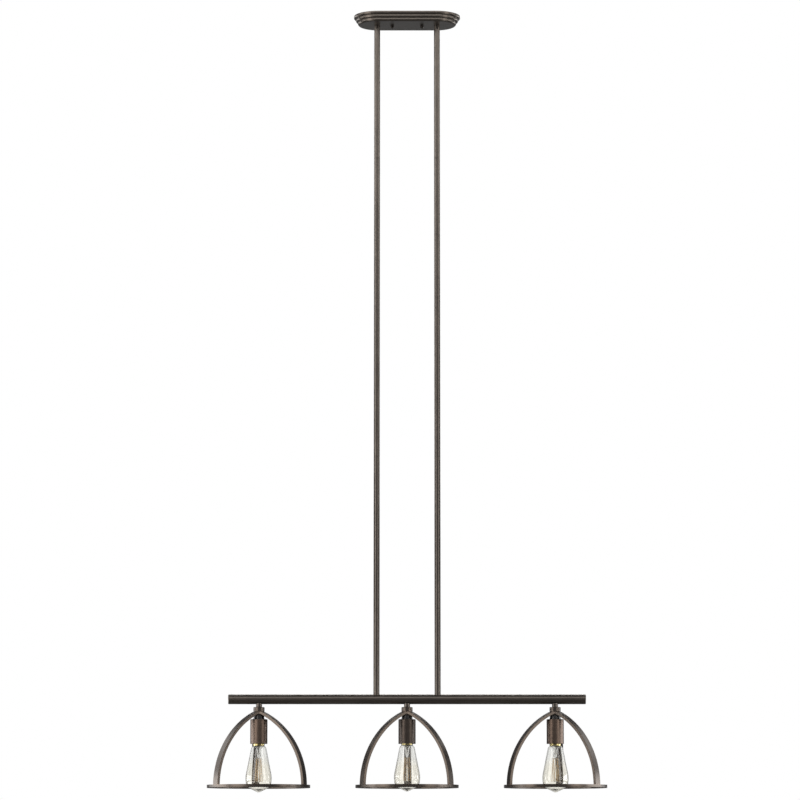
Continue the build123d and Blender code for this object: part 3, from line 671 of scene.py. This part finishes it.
def stage_material(name, colour):
    """White to the eye, the metal and the glass, but plain matt to light; clear from below."""
    material = bpy.data.materials.new(name)
    material.use_nodes = True
    tree = material.node_tree
    tree.nodes.clear()
    out = add(tree, "ShaderNodeOutputMaterial")
    path = add(tree, "ShaderNodeLightPath")
    geometry = add(tree, "ShaderNodeNewGeometry")
    matt = add(tree, "ShaderNodeBsdfDiffuse")
    matt.inputs["Color"].default_value = (*colour, 1.0)
    glow = add(tree, "ShaderNodeEmission")
    distance = add(tree, "ShaderNodeVectorMath", operation="LENGTH")
    tree.links.new(geometry.outputs["Position"], distance.inputs[0])
    away = distance.outputs["Value"]
    seen = maths(tree, "ADD", path.outputs["Is Camera Ray"], path.outputs["Is Transmission Ray"])
    seen = maths(tree, "MULTIPLY", seen, remap(tree, away, *FLOOR_SEEN_FADE))
    mirrored = maths(tree, "MULTIPLY", path.outputs["Is Glossy Ray"],
                     remap(tree, away, *FLOOR_MIRRORED_FADE))
    tree.links.new(maths(tree, "ADD", seen, mirrored), glow.inputs["Strength"])
    both = add(tree, "ShaderNodeAddShader")
    tree.links.new(matt.outputs["BSDF"], both.inputs[0])
    tree.links.new(glow.outputs["Emission"], both.inputs[1])
    clear = add(tree, "ShaderNodeBsdfTransparent")
    sides = add(tree, "ShaderNodeMixShader")
    tree.links.new(geometry.outputs["Backfacing"], sides.inputs["Fac"])
    tree.links.new(both.outputs["Shader"], sides.inputs[1])
    tree.links.new(clear.outputs["BSDF"], sides.inputs[2])
    tree.links.new(sides.outputs["Shader"], out.inputs["Surface"])
    return material


def make_floor():
    """A wide round floor well below the object."""
    points = [(FLOOR_RADIUS * math.cos(angle), FLOOR_RADIUS * math.sin(angle), FLOOR_HEIGHT)
              for angle in (math.tau * side / FLOOR_SIDES for side in range(FLOOR_SIDES))]
    mesh = bpy.data.meshes.new("floor")
    mesh.from_pydata(points, [], [list(range(len(points)))])
    mesh.materials.append(stage_material("pale_floor", FLOOR_COLOUR))
    floor = bpy.data.objects.new("floor", mesh)
    bpy.context.scene.collection.objects.link(floor)


def make_world():
    """Dim studio with a lighter front wall; white behind the object and wherever it is seen."""
    world = bpy.data.worlds.new("studio")
    bpy.context.scene.world = world
    world.use_nodes = True
    tree = world.node_tree
    background = tree.nodes["Background"]
    path = add(tree, "ShaderNodeLightPath")
    coords = add(tree, "ShaderNodeTexCoord")
    axes = add(tree, "ShaderNodeSeparateXYZ")
    tree.links.new(coords.outputs["Generated"], axes.inputs["Vector"])
    above = remap(tree, axes.outputs["Z"], *HORIZON_FADE)
    behind = maths(tree, "MULTIPLY", remap(tree, axes.outputs["Y"], *BACK_FADE), above)
    glossy = maths(tree, "MULTIPLY", path.outputs["Is Glossy Ray"], behind)
    seen = maths(tree, "ADD", maths(tree, "ADD", path.outputs["Is Camera Ray"],
                                    path.outputs["Is Transmission Ray"]), glossy)
    seen = maths(tree, "MINIMUM", seen, 1.0)
    dim = tuple(c * FILL_LEVEL for c in FILL_COLOUR)
    front = tuple(c * FRONT_LEVEL for c in FILL_COLOUR)
    room = mix_colour(tree, remap(tree, axes.outputs["Y"], *FRONT_FADE), dim, front)
    tree.links.new(mix_colour(tree, seen, room, (1.0, 1.0, 1.0)), background.inputs["Color"])
    background.inputs["Strength"].default_value = 1.0


def softbox(name, place, aim, size, radiance, colour, spread):
    """Rectangular area lamp of a given radiance, facing a point; the glass doesn't show it."""
    light = bpy.data.lights.new(name, "AREA")
    light.shape = "RECTANGLE"
    light.size, light.size_y = size
    light.energy = radiance * size[0] * size[1] * math.pi
    light.color = colour
    light.spread = math.radians(spread)
    lamp = bpy.data.objects.new(name, light)
    lamp.location = place
    lamp.rotation_mode = "QUATERNION"
    lamp.rotation_quaternion = (Vector(aim) - Vector(place)).to_track_quat("-Z", "Y")
    lamp.visible_transmission = False
    bpy.context.scene.collection.objects.link(lamp)


def make_camera():
    """The photograph's camera, from the values at the top."""
    data = bpy.data.cameras.new("camera")
    data.lens = CAMERA_LENS
    data.sensor_width = CAMERA_SENSOR
    data.shift_x, data.shift_y = CAMERA_SHIFT
    data.clip_end = CAMERA_REACH
    camera = bpy.data.objects.new("camera", data)
    camera.location = CAMERA_PLACE
    camera.rotation_euler = (math.radians(90 + CAMERA_PITCH), 0, 0)
    bpy.context.scene.collection.objects.link(camera)
    bpy.context.scene.camera = camera


bpy.context.scene.view_settings.view_transform = "Standard"
dress_nodes()
for lamp in LAMPS:
    make_base(lamp)
    make_envelope(lamp)
    make_stem_glass(lamp)
    make_filament(lamp)
make_connectors()
make_floor()
make_world()
for box in SOFTBOXES:
    softbox(*box)
make_camera()
